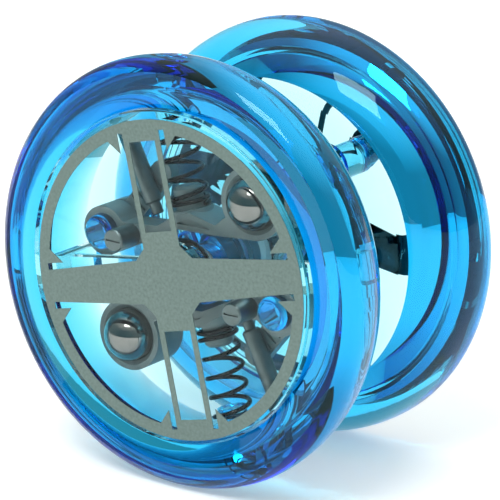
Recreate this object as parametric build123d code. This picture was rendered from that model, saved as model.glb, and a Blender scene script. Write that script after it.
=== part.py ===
from build123d import *
import math
import os

# An automatic-return yo-yo: two clear blue halves on a steel axle, with a centrifugal clutch in the
# front half. Millimetres. The axle lies along Y, the clutch half faces -Y and +Z is up. The origin is
# the middle of the axle. "Depth" below means the distance in front of the middle plane, so depth = -y.

# ---- Driving dimensions ----------------------------------------------------------------------------
YOYO_RADIUS = 28.5
WIDEST_DEPTH = 14.05         # depth of the widest circle of a half
HUB_FACE_DEPTH = 1.6         # half of the string gap at the hub
HUB_FACE_RADIUS = 10.0
CONE_END = (21.0, 4.37)      # radius, depth where the gap wall starts to curve
WALL_MIDDLE = (26.16, 7.62)  # a point on the curved gap wall
CREST_START = (26.7, 16.86)
CREST = (25.0, 16.95)        # the front lip of the rim
CAP_SEAT_RADIUS = 22.0
CAP_SEAT_FRONT = 16.15
CAP_SEAT_DEPTH = 14.6
CAVITY_RADIUS = 21.6
CAVITY_FLOOR_EDGE = 6.0
CAVITY_FLOOR_HUB = (7.0, 3.5)
RIM_ROUND = (27.77, 16.04)

CAP_RADIUS = 21.9
CAP_FACE_RADIUS = 21.7
CAP_FACE_DEPTH = 17.15
CAP_INSIDE_DEPTH = 16.0
CAP_SKIRT = 1.4
CAP_SEAT_PLAY = 0.05

TRIM_THICKNESS = 0.1
TRIM_CENTRE = (0.2, -0.25)   # the print is a little off centre
TRIM_RING = (19.35, 21.0)
TRIM_TURN = 11.9             # degrees, anticlockwise seen from the front
TRIM_UPRIGHT_LEAN = 0.8      # extra turn of the upright arm
TRIM_HALF_WIDTH = 2.95
TRIM_BAR_END = 2.1           # half width of the level bar where it meets the ring
TRIM_STRUT = 0.85
TRIM_WINDOW = (6.5, 18.2)
TRIM_SLOT = 0.85
TRIM_SLOT_END = 19.45
TRIM_EAR_TIP = 16.85
TRIM_EAR_WIDTH = 2.4
TRIM_CORNER = 1.5

AXLE_RADIUS = 1.5
AXLE_CLEARANCE = 0.05
AXLE_FRONT = 15.7
AXLE_REAR = 9.2
NUT_FLATS = 5.5
NUT_THICKNESS = 2.2
NUT_POCKET_PLAY = 0.1

SPINDLE_RADIUS = 3.6
SPINDLE_FLANGE_RADIUS = 4.4
SPINDLE_NECK_RADIUS = 2.9
SPINDLE_END = 1.45
SPINDLE_SEAT = 1.1
SPINDLE_FRONT = 10.1
HUB_HOLE_RADIUS = 3.3
DRUM_RADIUS = 5.0
DRUM_DEPTH = (6.0, 10.1)
WASHER_THICKNESS = 0.4

BRIDGE_TURN = 8.0
BRIDGE_HALF_WIDTH = 1.8
BRIDGE_DEPTH = (12.35, 14.1)
BRIDGE_REACH = 21.3
BRIDGE_FOOT = 2.8
BRIDGE_HUB_RADIUS = 4.4
BRIDGE_HUB_FRONT = 15.5

# Clutch, side A; side B is the same turned half a turn about Y. Places are (x, z).
PIVOT = (-13.8, 3.0)
POST_RADIUS = 2.3
POST_TOP = 13.5
PIVOT_CLEARANCE = 0.05
EYE_RADIUS = 3.3
ARM_FRONT = 11.95
ARM_EYE_BACK = 8.25
ARM_PAD_BACK = 6.5
ARM_RECESS = 0.5
CUP = (9.9, 10.5)
CUP_RADIUS = 4.8
BALL_RADIUS = 3.57
BALL_DEPTH = 11.45
CUP_FLOOR_DEPTH = 7.75
ARM_PIN = (-9.4, 3.25)
ARM_PIN_RADIUS = 1.5
ARM_PIN_TOP = 15.8
SPRING_SEAT = (-1.95, 7.4)
SPRING_WALL_END = (-4.95, 20.5)
SPRING_DEPTH = 8.85
SPRING_RADIUS = 2.75
SPRING_WIRE = 0.6
SPRING_TURNS = 6.25
SPRING_CLOSED_TURNS = 1.75
SPRING_CLOSED_PITCH = 0.75
SPRING_STEPS = 16            # points on the wire in each turn
SPRING_PLAY = 0.03
SEAT_RADIUS = 2.9
PEG_RADIUS = 1.9
STOP_WALL_END = (-12.7, 17.15)
STOP_STEP = (-7.65, 7.15)
STOP_DEPTH = 9.15
STOP_TIP_REACH = 1.55
SLEEVE_RADIUS = 1.2
STOP_PIN_RADIUS = 0.75
BRACKET_DEPTH = (6.3, 7.9)
BRACKET_END = (-7.5, 10.9)
BRACKET_HALF_WIDTH = 1.65

REAR_TURN = -39.0            # how far the rear half is turned about the axle


# ---- Helpers ---------------------------------------------------------------------------------------
def place(spot, depth):
    """A 3-D point from an (x, z) place and a depth."""
    return Vector(spot[0], -depth, spot[1])


def slab(sketch, back, front):
    """A sketch drawn in X and Z, made solid from one depth to another."""
    return extrude(Plane.XZ.offset(back) * sketch, front - back)


def disc(spot, radius, back, front):
    return slab(Pos(spot[0], spot[1]) * Circle(radius), back, front)


def tube(spot, outer, inner, back, front):
    return slab(Pos(spot[0], spot[1]) * (Circle(outer) - Circle(inner)), back, front)


def rod(start, end, radius):
    """A round rod from one 3-D point to another."""
    along = end - start
    return extrude(Plane(origin=start, z_dir=along) * Circle(radius), along.length)


def turned(outline):
    """A solid turned about Y from (radius, depth) points."""
    points = [(radius, -depth) for radius, depth in outline]
    return revolve(make_face(Polyline(*points, close=True)), Axis.Y)


def other_side(shape):
    """The same piece on side B of the clutch."""
    return Rot(0, 180, 0) * shape


def to_rear(shape):
    """The same piece in the rear half."""
    return Rot(0, REAR_TURN, 0) * Rot(0, 0, 180) * shape


def hexagon(flats):
    return RegularPolygon(flats / 2, 6, major_radius=False)


# ---- Halves ----------------------------------------------------------------------------------------
def half_body(hole_radius):
    """One half without posts: cone and curved gap wall, thick rim, cap seat and round cavity."""
    flip = [(radius, -depth) for radius, depth in (
        (hole_radius, HUB_FACE_DEPTH), (HUB_FACE_RADIUS, HUB_FACE_DEPTH), CONE_END, WALL_MIDDLE,
        (YOYO_RADIUS, WIDEST_DEPTH), RIM_ROUND, CREST_START, CREST,
        (CAP_SEAT_RADIUS, CAP_SEAT_FRONT), (CAP_SEAT_RADIUS, CAP_SEAT_DEPTH),
        (CAVITY_RADIUS, CAP_SEAT_DEPTH), (CAVITY_RADIUS, CAVITY_FLOOR_EDGE), CAVITY_FLOOR_HUB,
        (hole_radius, CAVITY_FLOOR_HUB[1]))]
    hub_face = Polyline(*flip[0:3])
    gap_wall = ThreePointArc(*flip[2:5])
    rim = ThreePointArc(*flip[4:7])
    inside = Polyline(*flip[6:], flip[0])
    return revolve(make_face(Wire([*hub_face.edges(), gap_wall.edge(), rim.edge(), *inside.edges()])), Axis.Y)


def pivot_post():
    foot = disc(PIVOT, EYE_RADIUS, 4.0, BRACKET_DEPTH[0] - 0.1)
    post = disc(PIVOT, POST_RADIUS, 4.0, POST_TOP)
    post = fillet(post.edges().group_by(Axis.Y)[0], 0.8)
    return foot + post


def spring_direction():
    return (place(SPRING_WALL_END, SPRING_DEPTH) - place(SPRING_SEAT, SPRING_DEPTH)).normalized()


def wall_seat():
    """The flat pad and peg on the cavity wall that hold a spring's outer end."""
    end = place(SPRING_WALL_END, SPRING_DEPTH)
    along = spring_direction()
    pad = rod(end, end + along * 3.0, SEAT_RADIUS)
    peg = rod(end - along * 2.2, end + along * 3.0, PEG_RADIUS)
    inside_rim = disc((0, 0), CAVITY_RADIUS + 0.6, CAVITY_FLOOR_EDGE - 1.0, CAP_SEAT_DEPTH)
    return (pad + peg) & inside_rim


def half_fittings():
    side = pivot_post() + wall_seat()
    return side + other_side(side)


def front_shell():
    return half_body(HUB_HOLE_RADIUS) + half_fittings()


def rear_shell():
    """The plain half: its hub holds the rear washer and the rear axle nut."""
    body = half_body(AXLE_RADIUS + AXLE_CLEARANCE) + half_fittings()
    boss = tube((0, 0), BRIDGE_HUB_RADIUS, AXLE_RADIUS + AXLE_CLEARANCE, 3.0, AXLE_REAR - 0.3)
    nut_pocket = slab(hexagon(NUT_FLATS + NUT_POCKET_PLAY), rear_nut_back(), AXLE_REAR)
    washer_pocket = disc((0, 0), SPINDLE_RADIUS + 0.1, HUB_FACE_DEPTH, HUB_FACE_DEPTH + WASHER_THICKNESS)
    return to_rear(body + boss - nut_pocket - washer_pocket)


def rear_nut_back():
    return AXLE_REAR - 0.5 - NUT_THICKNESS


def cap():
    return turned([(0, CAP_INSIDE_DEPTH), (CAP_RADIUS - CAP_SKIRT, CAP_INSIDE_DEPTH),
                   (CAP_RADIUS - CAP_SKIRT, CAP_SEAT_DEPTH + CAP_SEAT_PLAY),
                   (CAP_RADIUS, CAP_SEAT_DEPTH + CAP_SEAT_PLAY),
                   (CAP_RADIUS, CAP_FACE_DEPTH - 0.2), (CAP_FACE_RADIUS, CAP_FACE_DEPTH),
                   (0, CAP_FACE_DEPTH)])


def trim_sketch():
    """A plain ring and cross: a solid level bar, and an upright arm with an open window each way."""
    inner, outer = TRIM_RING
    half = TRIM_HALF_WIDTH
    middle_ring = (inner + outer) / 2
    bar = make_face(Polyline((half, half), (middle_ring, TRIM_BAR_END), (middle_ring, -TRIM_BAR_END),
                             (half, -half), (-half, -half), (-middle_ring, -TRIM_BAR_END),
                             (-middle_ring, TRIM_BAR_END), (-half, half), close=True))
    window_middle = sum(TRIM_WINDOW) / 2
    window = Rectangle(2 * (half - TRIM_STRUT), TRIM_WINDOW[1] - TRIM_WINDOW[0])
    upright = Rectangle(2 * half, 2 * middle_ring)
    windows = Pos(0, window_middle) * window + Pos(0, -window_middle) * window
    gusset_side = math.sqrt(2) * (2 * half + TRIM_CORNER)
    gusset = Rot(0, 0, 45) * Rectangle(gusset_side, gusset_side)
    sketch = Circle(outer) - Circle(inner)
    for turn in (0, 180):
        for mirror_side in (1, -1):
            for arm_turn, arm_half in ((0, TRIM_BAR_END + 0.1), (90 + TRIM_UPRIGHT_LEAN, half)):
                spin = Rot(0, 0, turn + arm_turn)
                sketch -= spin * slot_beside(arm_half * mirror_side, mirror_side)
                sketch += spin * ear_beside(arm_half * mirror_side, mirror_side)
    sketch += bar + Rot(0, 0, TRIM_UPRIGHT_LEAN) * upright + gusset
    sketch -= Rot(0, 0, TRIM_UPRIGHT_LEAN) * windows
    return Pos(*TRIM_CENTRE) * Rot(0, 0, TRIM_TURN) * sketch


def slot_beside(edge, side):
    """The narrow slot in the ring beside an arm that points along +X."""
    start = TRIM_EAR_TIP
    return Pos((start + TRIM_SLOT_END) / 2, edge + side * TRIM_SLOT / 2) * Rectangle(TRIM_SLOT_END - start,
                                                                                  TRIM_SLOT)


def ear_beside(edge, side):
    """The small pointed ear of the ring on the far side of a slot."""
    near = edge + side * TRIM_SLOT
    return make_face(Polyline((TRIM_EAR_TIP, near), (TRIM_SLOT_END, near),
                              (TRIM_RING[0] - 0.1, near + side * TRIM_EAR_WIDTH), close=True))


def trim():
    return slab(trim_sketch(), CAP_FACE_DEPTH, CAP_FACE_DEPTH + TRIM_THICKNESS)


# ---- Axle, spindle and bridge ----------------------------------------------------------------------
def axle():
    body = rod(place((0, 0), -AXLE_REAR), place((0, 0), AXLE_FRONT), AXLE_RADIUS)
    return chamfer(body.edges().filter_by(GeomType.CIRCLE), 0.3)


def nut(back):
    body = slab(hexagon(NUT_FLATS), back, back + NUT_THICKNESS)
    cone = turned([(0, back - 1.0), (NUT_FLATS / 2, back - 1.0), (NUT_FLATS / 2 + 0.6, back + 1.1),
                   (NUT_FLATS / 2, back + NUT_THICKNESS + 0.12), (0, back + NUT_THICKNESS + 0.12)])
    return (body & cone) - disc((0, 0), AXLE_RADIUS + 0.02, back - 1.0, back + NUT_THICKNESS + 1.0)


def spindle():
    """The sleeve that the string loops round; its neck runs forward to carry the drum."""
    bore = AXLE_RADIUS + AXLE_CLEARANCE
    return turned([(bore, -SPINDLE_END), (SPINDLE_FLANGE_RADIUS, -SPINDLE_END),
                   (SPINDLE_FLANGE_RADIUS, -SPINDLE_SEAT - 0.1), (SPINDLE_RADIUS, -SPINDLE_SEAT + 0.3),
                   (SPINDLE_RADIUS, SPINDLE_SEAT - 0.3), (SPINDLE_FLANGE_RADIUS, SPINDLE_SEAT + 0.1),
                   (SPINDLE_FLANGE_RADIUS, SPINDLE_END), (SPINDLE_NECK_RADIUS, SPINDLE_END),
                   (SPINDLE_NECK_RADIUS, SPINDLE_FRONT), (bore, SPINDLE_FRONT)])


def brake_drum():
    body = tube((0, 0), DRUM_RADIUS, SPINDLE_NECK_RADIUS, *DRUM_DEPTH)
    outer_edges = body.edges().filter_by(GeomType.CIRCLE).group_by(SortBy.RADIUS)[-1]
    return chamfer(outer_edges, 0.3)


def washer(back, outer):
    return tube((0, 0), outer, AXLE_RADIUS + AXLE_CLEARANCE, back, back + WASHER_THICKNESS)


def axle_bridge():
    """The clear bar across the cavity on two feet; its hub holds the front axle nut."""
    back, front = BRIDGE_DEPTH
    width = 2 * BRIDGE_HALF_WIDTH
    bar = slab(Rectangle(2 * BRIDGE_REACH, width), back, front)
    for side in (1, -1):
        bar += slab(Pos(side * (BRIDGE_REACH - BRIDGE_FOOT / 2), 0) * Rectangle(BRIDGE_FOOT, width), 6.2, front)
    bar &= disc((0, 0), BRIDGE_REACH, 0, CAP_INSIDE_DEPTH)
    bar += disc((0, 0), BRIDGE_HUB_RADIUS, back, BRIDGE_HUB_FRONT)
    bar += disc((0, 0), SPINDLE_NECK_RADIUS, bridge_thrust_face(), back)
    bar -= disc((0, 0), AXLE_RADIUS + AXLE_CLEARANCE, 0, CAP_INSIDE_DEPTH)
    bar -= slab(hexagon(NUT_FLATS + NUT_POCKET_PLAY), front_nut_back(), CAP_INSIDE_DEPTH)
    return Rot(0, -BRIDGE_TURN, 0) * bar


def bridge_thrust_face():
    return SPINDLE_FRONT + WASHER_THICKNESS + 0.15


def front_nut_back():
    return BRIDGE_HUB_FRONT - 0.2 - NUT_THICKNESS


# ---- Clutch, side A --------------------------------------------------------------------------------
def lever_sketch():
    """The lever between the eye and the ball cup, with the brake edge below and the hump above."""
    cup_x, cup_z = CUP
    lower = [(-12.3, 0.2), (-8.2, 2.05), (-4.1, 4.15), (-2.0, 5.15), (4.1, 5.35), (cup_x, cup_z - CUP_RADIUS)]
    upper = [CUP, (5.3, 7.7), (4.1, 6.65), (2.0, 7.2), (0.0, 7.65), (-2.65, 6.7), (-5.1, 5.1),
             (-8.6, 4.8), (-10.65, 4.7), (-12.6, 6.0)]
    return make_face(Polyline(*lower, *upper, PIVOT, close=True))


def clutch_arm():
    lever = lever_sketch()
    eye = Pos(*PIVOT) * Circle(EYE_RADIUS)
    cup = Pos(*CUP) * Circle(CUP_RADIUS)
    plate = slab(eye + lever + cup, ARM_EYE_BACK, ARM_FRONT)
    pad = slab((lever + cup) & (Pos(5, 8) * Rectangle(20, 20)), ARM_PAD_BACK, ARM_FRONT)
    arm = plate + pad + spring_seat()
    recess = make_face(Polyline((-2.0, 5.9), (3.3, 5.95), (1.9, 6.45), (0.1, 6.9), (-1.7, 6.15), close=True))
    arm -= slab(recess, ARM_FRONT - ARM_RECESS, ARM_FRONT + 1.0)
    arm -= disc(CUP, BALL_RADIUS + 0.03, CUP_FLOOR_DEPTH, ARM_FRONT + 1.0)
    arm -= cup_bevel()
    arm -= disc(ARM_PIN, ARM_PIN_RADIUS, ARM_EYE_BACK + 1.0, ARM_FRONT + 1.0)
    return arm - disc(PIVOT, POST_RADIUS + PIVOT_CLEARANCE, 0, POST_TOP + 1.0)


def cup_bevel():
    """The bevel at the cup's mouth."""
    mouth = Plane.XZ.offset(ARM_FRONT + 0.01) * Pos(*CUP) * Circle(BALL_RADIUS + 0.53)
    return extrude(mouth, -0.5, taper=45)


def spring_seat():
    seat = place(SPRING_SEAT, SPRING_DEPTH)
    along = spring_direction()
    base = rod(seat - along * 1.5, seat, SEAT_RADIUS)
    boss = rod(seat - along * 1.0, seat + along * 3.0, PEG_RADIUS)
    boss = chamfer(boss.edges().filter_by(GeomType.CIRCLE).sort_by_distance(seat + along * 3.0)[0], 0.4)
    return base + boss


def ball():
    return Pos(*place(CUP, BALL_DEPTH)) * Sphere(BALL_RADIUS)


def arm_pin():
    """The tall pin pressed into the arm; a fine slot crosses its end."""
    body = disc(ARM_PIN, ARM_PIN_RADIUS, ARM_EYE_BACK + 1.0, ARM_PIN_TOP)
    body = chamfer(body.edges().group_by(Axis.Y)[0], 0.15)
    slot = Pos(*ARM_PIN) * Rectangle(2.2, 0.25)
    return body - slab(slot, ARM_PIN_TOP - 0.25, ARM_PIN_TOP + 1.0)


def spring():
    """One wire from the arm's seat to the wall seat: closed coils at the arm, then open ones."""
    seat = place(SPRING_SEAT, SPRING_DEPTH)
    along = spring_direction()
    length = (place(SPRING_WALL_END, SPRING_DEPTH) - seat).length
    rise = length - SPRING_WIRE - 2 * SPRING_PLAY
    middle = SPRING_RADIUS - SPRING_WIRE / 2
    foot = Plane(origin=seat + along * (SPRING_WIRE / 2 + SPRING_PLAY), z_dir=along)
    points = []
    for step in range(round(SPRING_TURNS * SPRING_STEPS) + 1):
        turn = step / SPRING_STEPS
        angle = 2 * math.pi * turn
        spot = Vector(middle * math.cos(angle), middle * math.sin(angle), spring_height(turn, rise))
        points.append(foot.from_local_coords(spot))
    coil = Spline(*points)
    wire_end = Plane(origin=coil @ 0, z_dir=coil % 0) * Circle(SPRING_WIRE / 2)
    return sweep(wire_end, path=coil, is_frenet=True)


def spring_height(turn, rise):
    """How far along the spring the wire is after some turns."""
    closed_rise = SPRING_CLOSED_TURNS * SPRING_CLOSED_PITCH
    if turn <= SPRING_CLOSED_TURNS:
        return turn * SPRING_CLOSED_PITCH
    open_part = (turn - SPRING_CLOSED_TURNS) / (SPRING_TURNS - SPRING_CLOSED_TURNS)
    return closed_rise + (rise - closed_rise) * open_part


def stop_direction():
    return (place(STOP_STEP, STOP_DEPTH) - place(STOP_WALL_END, STOP_DEPTH)).normalized()


def stop_sleeve():
    step = place(STOP_STEP, STOP_DEPTH)
    along = stop_direction()
    body = rod(place(STOP_WALL_END, STOP_DEPTH), step, SLEEVE_RADIUS)
    body = chamfer(body.edges().filter_by(GeomType.CIRCLE), 0.25)
    return body - rod(step - along * 7.0, step + along, STOP_PIN_RADIUS)


def stop_pin():
    """The thin pin whose tip stops the arm's outward swing."""
    step = place(STOP_STEP, STOP_DEPTH)
    along = stop_direction()
    body = rod(step - along * 6.9, step + along * STOP_TIP_REACH, STOP_PIN_RADIUS)
    return chamfer(body.edges().filter_by(GeomType.CIRCLE), 0.15)


def stop_bracket():
    """The ribbed plate on the floor under the arm; it carries the sleeve."""
    back, front = BRACKET_DEPTH
    reach = Vector(BRACKET_END[0] - PIVOT[0], BRACKET_END[1] - PIVOT[1])
    heading = math.degrees(math.atan2(reach.Y, reach.X))
    bar = Pos(*PIVOT) * Rot(0, 0, heading) * Pos(reach.length / 2, 0) * SlotCenterToCenter(
        reach.length, 2 * BRACKET_HALF_WIDTH)
    body = slab(bar + Pos(*PIVOT) * Circle(EYE_RADIUS), back, front)
    for step in range(5):
        groove = Pos(*PIVOT) * Rot(0, 0, heading) * Pos(4.2 + 1.1 * step, 0) * Rectangle(0.45, 2.6)
        body -= slab(groove, front - 0.4, front + 1.0)
    return body - disc(PIVOT, POST_RADIUS + 0.02, 0, POST_TOP)


# ---- Nodes -----------------------------------------------------------------------------------------
def clutch_nodes():
    makers = {"clutch_arm": clutch_arm, "steel_ball": ball, "arm_pin": arm_pin, "spring": spring,
              "stop_bracket": stop_bracket, "stop_sleeve": stop_sleeve, "stop_pin": stop_pin}
    nodes = {}
    for name, make in makers.items():
        piece = make()
        nodes[name + "_a"] = piece
        nodes[name + "_b"] = other_side(piece)
    return nodes


def all_nodes():
    nodes = {
        "front_shell": front_shell(),
        "rear_shell": rear_shell(),
        "front_cap": cap(),
        "rear_cap": to_rear(cap()),
        "front_trim": trim(),
        "rear_trim": Rot(0, 0, 180) * trim(),
        "axle": axle(),
        "front_nut": Rot(0, -BRIDGE_TURN, 0) * nut(front_nut_back()),
        "rear_nut": to_rear(nut(rear_nut_back())),
        "axle_bridge": axle_bridge(),
        "spindle": spindle(),
        "brake_drum": brake_drum(),
        "front_washer": washer(SPINDLE_FRONT + 0.1, SPINDLE_NECK_RADIUS),
        "rear_washer": Rot(0, 0, 180) * washer(HUB_FACE_DEPTH, SPINDLE_RADIUS),
    }
    nodes.update(clutch_nodes())
    return nodes


os.makedirs("parts", exist_ok=True)
for node_name, node_shape in all_nodes().items():
    export_step(node_shape, "parts/" + node_name + ".step")
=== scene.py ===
import math

import bpy
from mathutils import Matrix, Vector


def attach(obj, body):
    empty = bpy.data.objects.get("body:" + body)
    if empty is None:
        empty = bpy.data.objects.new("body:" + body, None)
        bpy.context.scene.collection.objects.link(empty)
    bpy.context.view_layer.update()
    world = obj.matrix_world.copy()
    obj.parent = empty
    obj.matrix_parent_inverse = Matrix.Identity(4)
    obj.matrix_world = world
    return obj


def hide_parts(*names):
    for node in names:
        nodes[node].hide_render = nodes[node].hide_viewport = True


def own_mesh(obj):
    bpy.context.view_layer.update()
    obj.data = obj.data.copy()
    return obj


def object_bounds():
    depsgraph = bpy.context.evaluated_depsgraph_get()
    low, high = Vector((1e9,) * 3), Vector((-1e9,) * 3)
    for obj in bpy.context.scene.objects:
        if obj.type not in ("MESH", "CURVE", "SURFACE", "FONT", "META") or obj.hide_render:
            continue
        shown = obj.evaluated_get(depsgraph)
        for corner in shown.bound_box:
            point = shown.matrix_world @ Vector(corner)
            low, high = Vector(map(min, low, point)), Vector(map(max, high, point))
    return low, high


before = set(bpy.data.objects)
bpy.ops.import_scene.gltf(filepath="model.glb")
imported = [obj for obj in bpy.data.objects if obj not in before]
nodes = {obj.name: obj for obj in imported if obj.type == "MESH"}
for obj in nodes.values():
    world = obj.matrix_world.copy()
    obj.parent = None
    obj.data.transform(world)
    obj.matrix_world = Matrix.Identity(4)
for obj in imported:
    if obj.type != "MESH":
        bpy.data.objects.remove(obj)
cad_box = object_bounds()
scene = bpy.context.scene

MM = 0.001


# ---- Camera ----------------------------------------------------------------------------------------
CAMERA_AZIMUTH = math.radians(35.856)  # from the front face towards +X
CAMERA_ELEVATION = math.radians(16.426)
CAMERA_DISTANCE = 424.88 * MM
CAMERA_LENS = 233.36
CAMERA_SENSOR = 36
CAMERA_SHIFT = (0.0079, -0.0034)
CAMERA_CLIP = (0.01, 20)


def add_camera():
    data = bpy.data.cameras.new("camera")
    data.lens = CAMERA_LENS
    data.sensor_width = CAMERA_SENSOR
    data.shift_x, data.shift_y = CAMERA_SHIFT
    data.clip_start, data.clip_end = CAMERA_CLIP
    camera = bpy.data.objects.new("camera", data)
    level = math.cos(CAMERA_ELEVATION)
    away = Vector((math.sin(CAMERA_AZIMUTH) * level, -math.cos(CAMERA_AZIMUTH) * level,
                   math.sin(CAMERA_ELEVATION)))
    camera.location = away * CAMERA_DISTANCE
    camera.rotation_euler = (-away).to_track_quat("-Z", "Y").to_euler()
    scene.collection.objects.link(camera)
    scene.camera = camera


# ---- Materials -------------------------------------------------------------------------------------
# The colour Mix node has several inputs and outputs of each name, so it is wired by number.
MIX_FACTOR, MIX_FIRST, MIX_SECOND, MIX_RESULT = 0, 6, 7, 2

# Noise scales, in cells per metre
CLEAR_CLOUD = 90
SATIN_CLOUD = 220
SATIN_GRAIN = 1500
METAL_GRAIN = 900
PRINT_CLOUD = 60
PRINT_GRAIN = 2600


def new_material(name):
    material = bpy.data.materials.new(name)
    material.use_nodes = True
    tree = material.node_tree
    shader = tree.nodes["Principled BSDF"]
    return material, tree, shader


def add_node(tree, kind, inputs=None, **settings):
    node = tree.nodes.new(kind)
    for key, value in settings.items():
        setattr(node, key, value)
    for key, value in (inputs or {}).items():
        node.inputs[key].default_value = value
    return node


def object_coordinates(tree):
    """Coordinates in metres that stay with the piece as it moves."""
    return add_node(tree, "ShaderNodeTexCoord").outputs["Object"]


def noise(tree, vector, scale, detail=3.0):
    node = add_node(tree, "ShaderNodeTexNoise", {"Scale": scale, "Detail": detail})
    tree.links.new(vector, node.inputs["Vector"])
    return node.outputs["Fac"]


def spread(tree, value, low, high):
    """A value from about 0.3 to 0.7, as noise gives it, spread from low to high."""
    node = add_node(tree, "ShaderNodeMapRange",
                    {"From Min": 0.3, "From Max": 0.7, "To Min": low, "To Max": high})
    tree.links.new(value, node.inputs["Value"])
    return node.outputs["Result"]


def blend_colours(tree, factor, first, second):
    node = add_node(tree, "ShaderNodeMix", data_type="RGBA")
    tree.links.new(factor, node.inputs[MIX_FACTOR])
    for index, colour in ((MIX_FIRST, first), (MIX_SECOND, second)):
        if isinstance(colour, tuple):
            node.inputs[index].default_value = (*colour, 1)
        else:
            tree.links.new(colour, node.inputs[index])
    return node.outputs[MIX_RESULT]


def add_bump(tree, shader, height, strength, distance):
    node = add_node(tree, "ShaderNodeBump", {"Strength": strength, "Distance": distance})
    tree.links.new(height, node.inputs["Height"])
    tree.links.new(node.outputs["Normal"], shader.inputs["Normal"])


def clear_plastic(name, ior, absorb_per_m, reflection=(0.12, 0.15, 0.16)):
    """Clear moulded plastic: its colour comes from how far light goes through it.

    absorb_per_m is the absorption of red, green and blue. reflection weakens the surface's own
    reflections below what the IOR gives.
    """
    material, tree, shader = new_material(name)
    vector = object_coordinates(tree)
    cloud = spread(tree, noise(tree, vector, CLEAR_CLOUD), 0, 1)
    tint = blend_colours(tree, cloud, (0.985, 0.985, 0.985), (1, 1, 1))
    tree.links.new(tint, shader.inputs["Base Color"])
    shader.inputs["Roughness"].default_value = 0
    shader.inputs["Transmission Weight"].default_value = 1
    shader.inputs["IOR"].default_value = ior
    shader.inputs["Specular Tint"].default_value = (*reflection, 1)
    density = max(absorb_per_m)
    volume = add_node(tree, "ShaderNodeVolumeAbsorption", {"Density": density})
    volume.inputs["Color"].default_value = (*(1 - share / density for share in absorb_per_m), 1)
    tree.links.new(volume.outputs["Volume"], tree.nodes["Material Output"].inputs["Volume"])
    return material


def satin_plastic(name, dark, light, roughness=(0.34, 0.5), specular=0.5):
    """Moulded plastic with faint cloudy colour and a fine eroded grain."""
    material, tree, shader = new_material(name)
    shader.inputs["Specular IOR Level"].default_value = specular
    vector = object_coordinates(tree)
    cloud = spread(tree, noise(tree, vector, SATIN_CLOUD), 0, 1)
    tree.links.new(blend_colours(tree, cloud, dark, light), shader.inputs["Base Color"])
    fine = noise(tree, vector, SATIN_GRAIN, 4)
    tree.links.new(spread(tree, fine, *roughness), shader.inputs["Roughness"])
    add_bump(tree, shader, fine, strength=0.25, distance=0.04 * MM)
    return material


def metal(name, dark, light, roughness, bump=0.1):
    """Bare metal, its colour and roughness mottled together."""
    material, tree, shader = new_material(name)
    shader.inputs["Metallic"].default_value = 1
    mottle = noise(tree, object_coordinates(tree), METAL_GRAIN, 4)
    tree.links.new(blend_colours(tree, spread(tree, mottle, 0, 1), dark, light),
                   shader.inputs["Base Color"])
    tree.links.new(spread(tree, mottle, *roughness), shader.inputs["Roughness"])
    add_bump(tree, shader, mottle, strength=bump, distance=0.01 * MM)
    return material


def foil_print(name):
    """The silver-grey foil print: fine grain, a little metallic."""
    material, tree, shader = new_material(name)
    shader.inputs["Metallic"].default_value = 0.35
    vector = object_coordinates(tree)
    grain = noise(tree, vector, PRINT_GRAIN, 5)
    cloud = noise(tree, vector, PRINT_CLOUD, 2)
    dark, light, worn = (0.115, 0.165, 0.15), (0.19, 0.255, 0.235), (0.13, 0.185, 0.17)
    fine = blend_colours(tree, spread(tree, grain, 0, 1), dark, light)
    tree.links.new(blend_colours(tree, spread(tree, cloud, 0, 0.25), fine, worn),
                   shader.inputs["Base Color"])
    tree.links.new(spread(tree, grain, 0.38, 0.55), shader.inputs["Roughness"])
    add_bump(tree, shader, grain, strength=0.3, distance=0.02 * MM)
    return material


def give(material, *names):
    for name in names:
        for slot in nodes[name].material_slots:
            slot.material = material


def both(name):
    """The names of a piece's two copies, one on each side of the clutch."""
    return [name + "_a", name + "_b"]


def paint_parts():
    give(clear_plastic("clear_blue", ior=1.5, absorb_per_m=(340, 66, 15),
                       reflection=(0.4, 0.75, 0.85)), "front_shell", "rear_shell")
    give(clear_plastic("clear_lens", ior=1.49, absorb_per_m=(30, 6, 5)), "front_cap", "rear_cap")
    give(clear_plastic("clear_pale", ior=1.49, absorb_per_m=(60, 10, 6)), "axle_bridge")
    give(clear_plastic("clear_drum", ior=1.5, absorb_per_m=(700, 170, 34)), "brake_drum")
    give(satin_plastic("grey_moulding", dark=(0.17, 0.235, 0.235), light=(0.24, 0.31, 0.31)),
         *both("clutch_arm"), *both("stop_bracket"))
    give(metal("satin_pin", dark=(0.12, 0.155, 0.155), light=(0.18, 0.22, 0.22),
               roughness=(0.36, 0.48)), *both("arm_pin"), *both("stop_sleeve"), *both("stop_pin"))
    give(metal("mirror_ball", dark=(0.2, 0.2, 0.19), light=(0.24, 0.24, 0.23),
               roughness=(0.02, 0.05), bump=0.01), *both("steel_ball"))
    give(satin_plastic("black_wire", dark=(0.001, 0.0015, 0.002), light=(0.003, 0.004, 0.005),
                       roughness=(0.25, 0.35), specular=0.2), *both("spring"))
    give(metal("plated_steel", dark=(0.5, 0.5, 0.48), light=(0.66, 0.66, 0.63),
               roughness=(0.2, 0.32)), "axle", "front_nut", "rear_nut")
    give(satin_plastic("white_sleeve", dark=(0.62, 0.66, 0.64), light=(0.74, 0.77, 0.75)), "spindle")
    give(satin_plastic("white_washer", dark=(0.7, 0.7, 0.66), light=(0.8, 0.8, 0.76)),
         "front_washer", "rear_washer")
    give(foil_print("print_silver"), "front_trim", "rear_trim")


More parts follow.
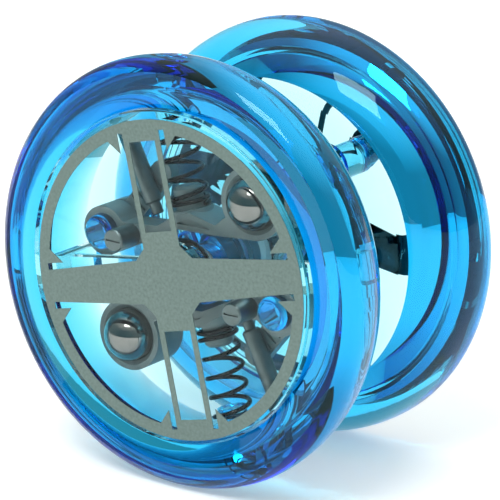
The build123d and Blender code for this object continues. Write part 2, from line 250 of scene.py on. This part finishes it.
def add_springs():
    """Each spring is copied into a new object with its own mesh, fixed to the yo-yo's body, and the
    original is hidden.
    """
    for side, way in (("a", 1), ("b", -1)):
        node = nodes["spring_" + side]
        spring = bpy.data.objects.new("spring_coil_" + side, node.data.copy())
        scene.collection.objects.link(spring)
        spring.matrix_world = node.matrix_world.copy()
        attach(spring, "yoyo_body")
        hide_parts("spring_" + side)
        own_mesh(spring)


# ---- Stage -----------------------------------------------------------------------------------------
FLOOR_REACH = 3.0
FLOOR_WHITE = 0.93
FLOOR_GLOW = 0.3

# The surroundings' colours, and the parts of a direction's Y and Z over which they change
WORLD_FRONT = (0.06, 0.2, 0.24)
WORLD_BACK = (0.4, 0.5, 0.48)
WORLD_ABOVE = (1.25, 1.25, 1.2)
FRONT_TO_BACK = (-0.95, 0.0)
LEVEL_TO_ABOVE = (0.45, 0.8)

SOFTBOX_PLACE = (0.08, -0.45, 0.66)
SOFTBOX_SIZE = (0.32, 0.3)
SOFTBOX_POWER = 3


def add_floor():
    """A plain floor under the object, with a slight glow to keep it pale."""
    bottom = cad_box[0][2]
    corners = [(x * FLOOR_REACH, y * FLOOR_REACH, bottom)
               for x, y in ((-1, -1), (1, -1), (1, 1), (-1, 1))]
    mesh = bpy.data.meshes.new("floor")
    mesh.from_pydata(corners, [], [(0, 1, 2, 3)])
    floor = bpy.data.objects.new("floor", mesh)
    scene.collection.objects.link(floor)
    material, _, shader = new_material("floor_white")
    shader.inputs["Base Color"].default_value = (FLOOR_WHITE, FLOOR_WHITE, FLOOR_WHITE, 1)
    shader.inputs["Roughness"].default_value = 0.9
    shader.inputs["Specular IOR Level"].default_value = 0.1
    shader.inputs["Emission Color"].default_value = (1, 1, 1, 1)
    shader.inputs["Emission Strength"].default_value = FLOOR_GLOW
    mesh.materials.append(material)


def add_softbox():
    """One area light, up in front, turned to the middle of the axle."""
    data = bpy.data.lights.new("softbox", "AREA")
    data.shape = "RECTANGLE"
    data.size, data.size_y = SOFTBOX_SIZE
    data.energy = SOFTBOX_POWER
    lamp = bpy.data.objects.new("softbox", data)
    lamp.location = SOFTBOX_PLACE
    lamp.rotation_euler = (-Vector(SOFTBOX_PLACE)).to_track_quat("-Z", "Y").to_euler()
    scene.collection.objects.link(lamp)


def ramp(tree, value, start_and_end):
    """0 up to the start, 1 from the end on, and even between them."""
    start, end = start_and_end
    node = add_node(tree, "ShaderNodeMapRange", {"From Min": start, "From Max": end})
    tree.links.new(value, node.inputs["Value"])
    return node.outputs["Result"]


def add_world():
    """Soft studio surroundings: bright above, grey-green behind, dim blue-green in front."""
    world = bpy.data.worlds.new("studio")
    world.use_nodes = True
    scene.world = world
    tree = world.node_tree
    source = add_node(tree, "ShaderNodeTexCoord")
    split = add_node(tree, "ShaderNodeSeparateXYZ")
    tree.links.new(source.outputs["Generated"], split.inputs["Vector"])
    towards_back = ramp(tree, split.outputs["Y"], FRONT_TO_BACK)
    upwards = ramp(tree, split.outputs["Z"], LEVEL_TO_ABOVE)
    around = blend_colours(tree, towards_back, WORLD_FRONT, WORLD_BACK)
    colour = blend_colours(tree, upwards, around, WORLD_ABOVE)
    tree.links.new(colour, tree.nodes["Background"].inputs["Color"])


def set_rendering():
    """Plain colours, bounces for light to cross both halves, and less speckle."""
    scene.view_settings.view_transform = "Standard"
    scene.cycles.max_bounces = 40
    scene.cycles.transmission_bounces = 36
    scene.cycles.glossy_bounces = 12
    scene.cycles.blur_glossy = 0.3
    scene.cycles.sample_clamp_indirect = 6


add_camera()
paint_parts()
add_springs()
add_floor()
add_world()
add_softbox()
set_rendering()
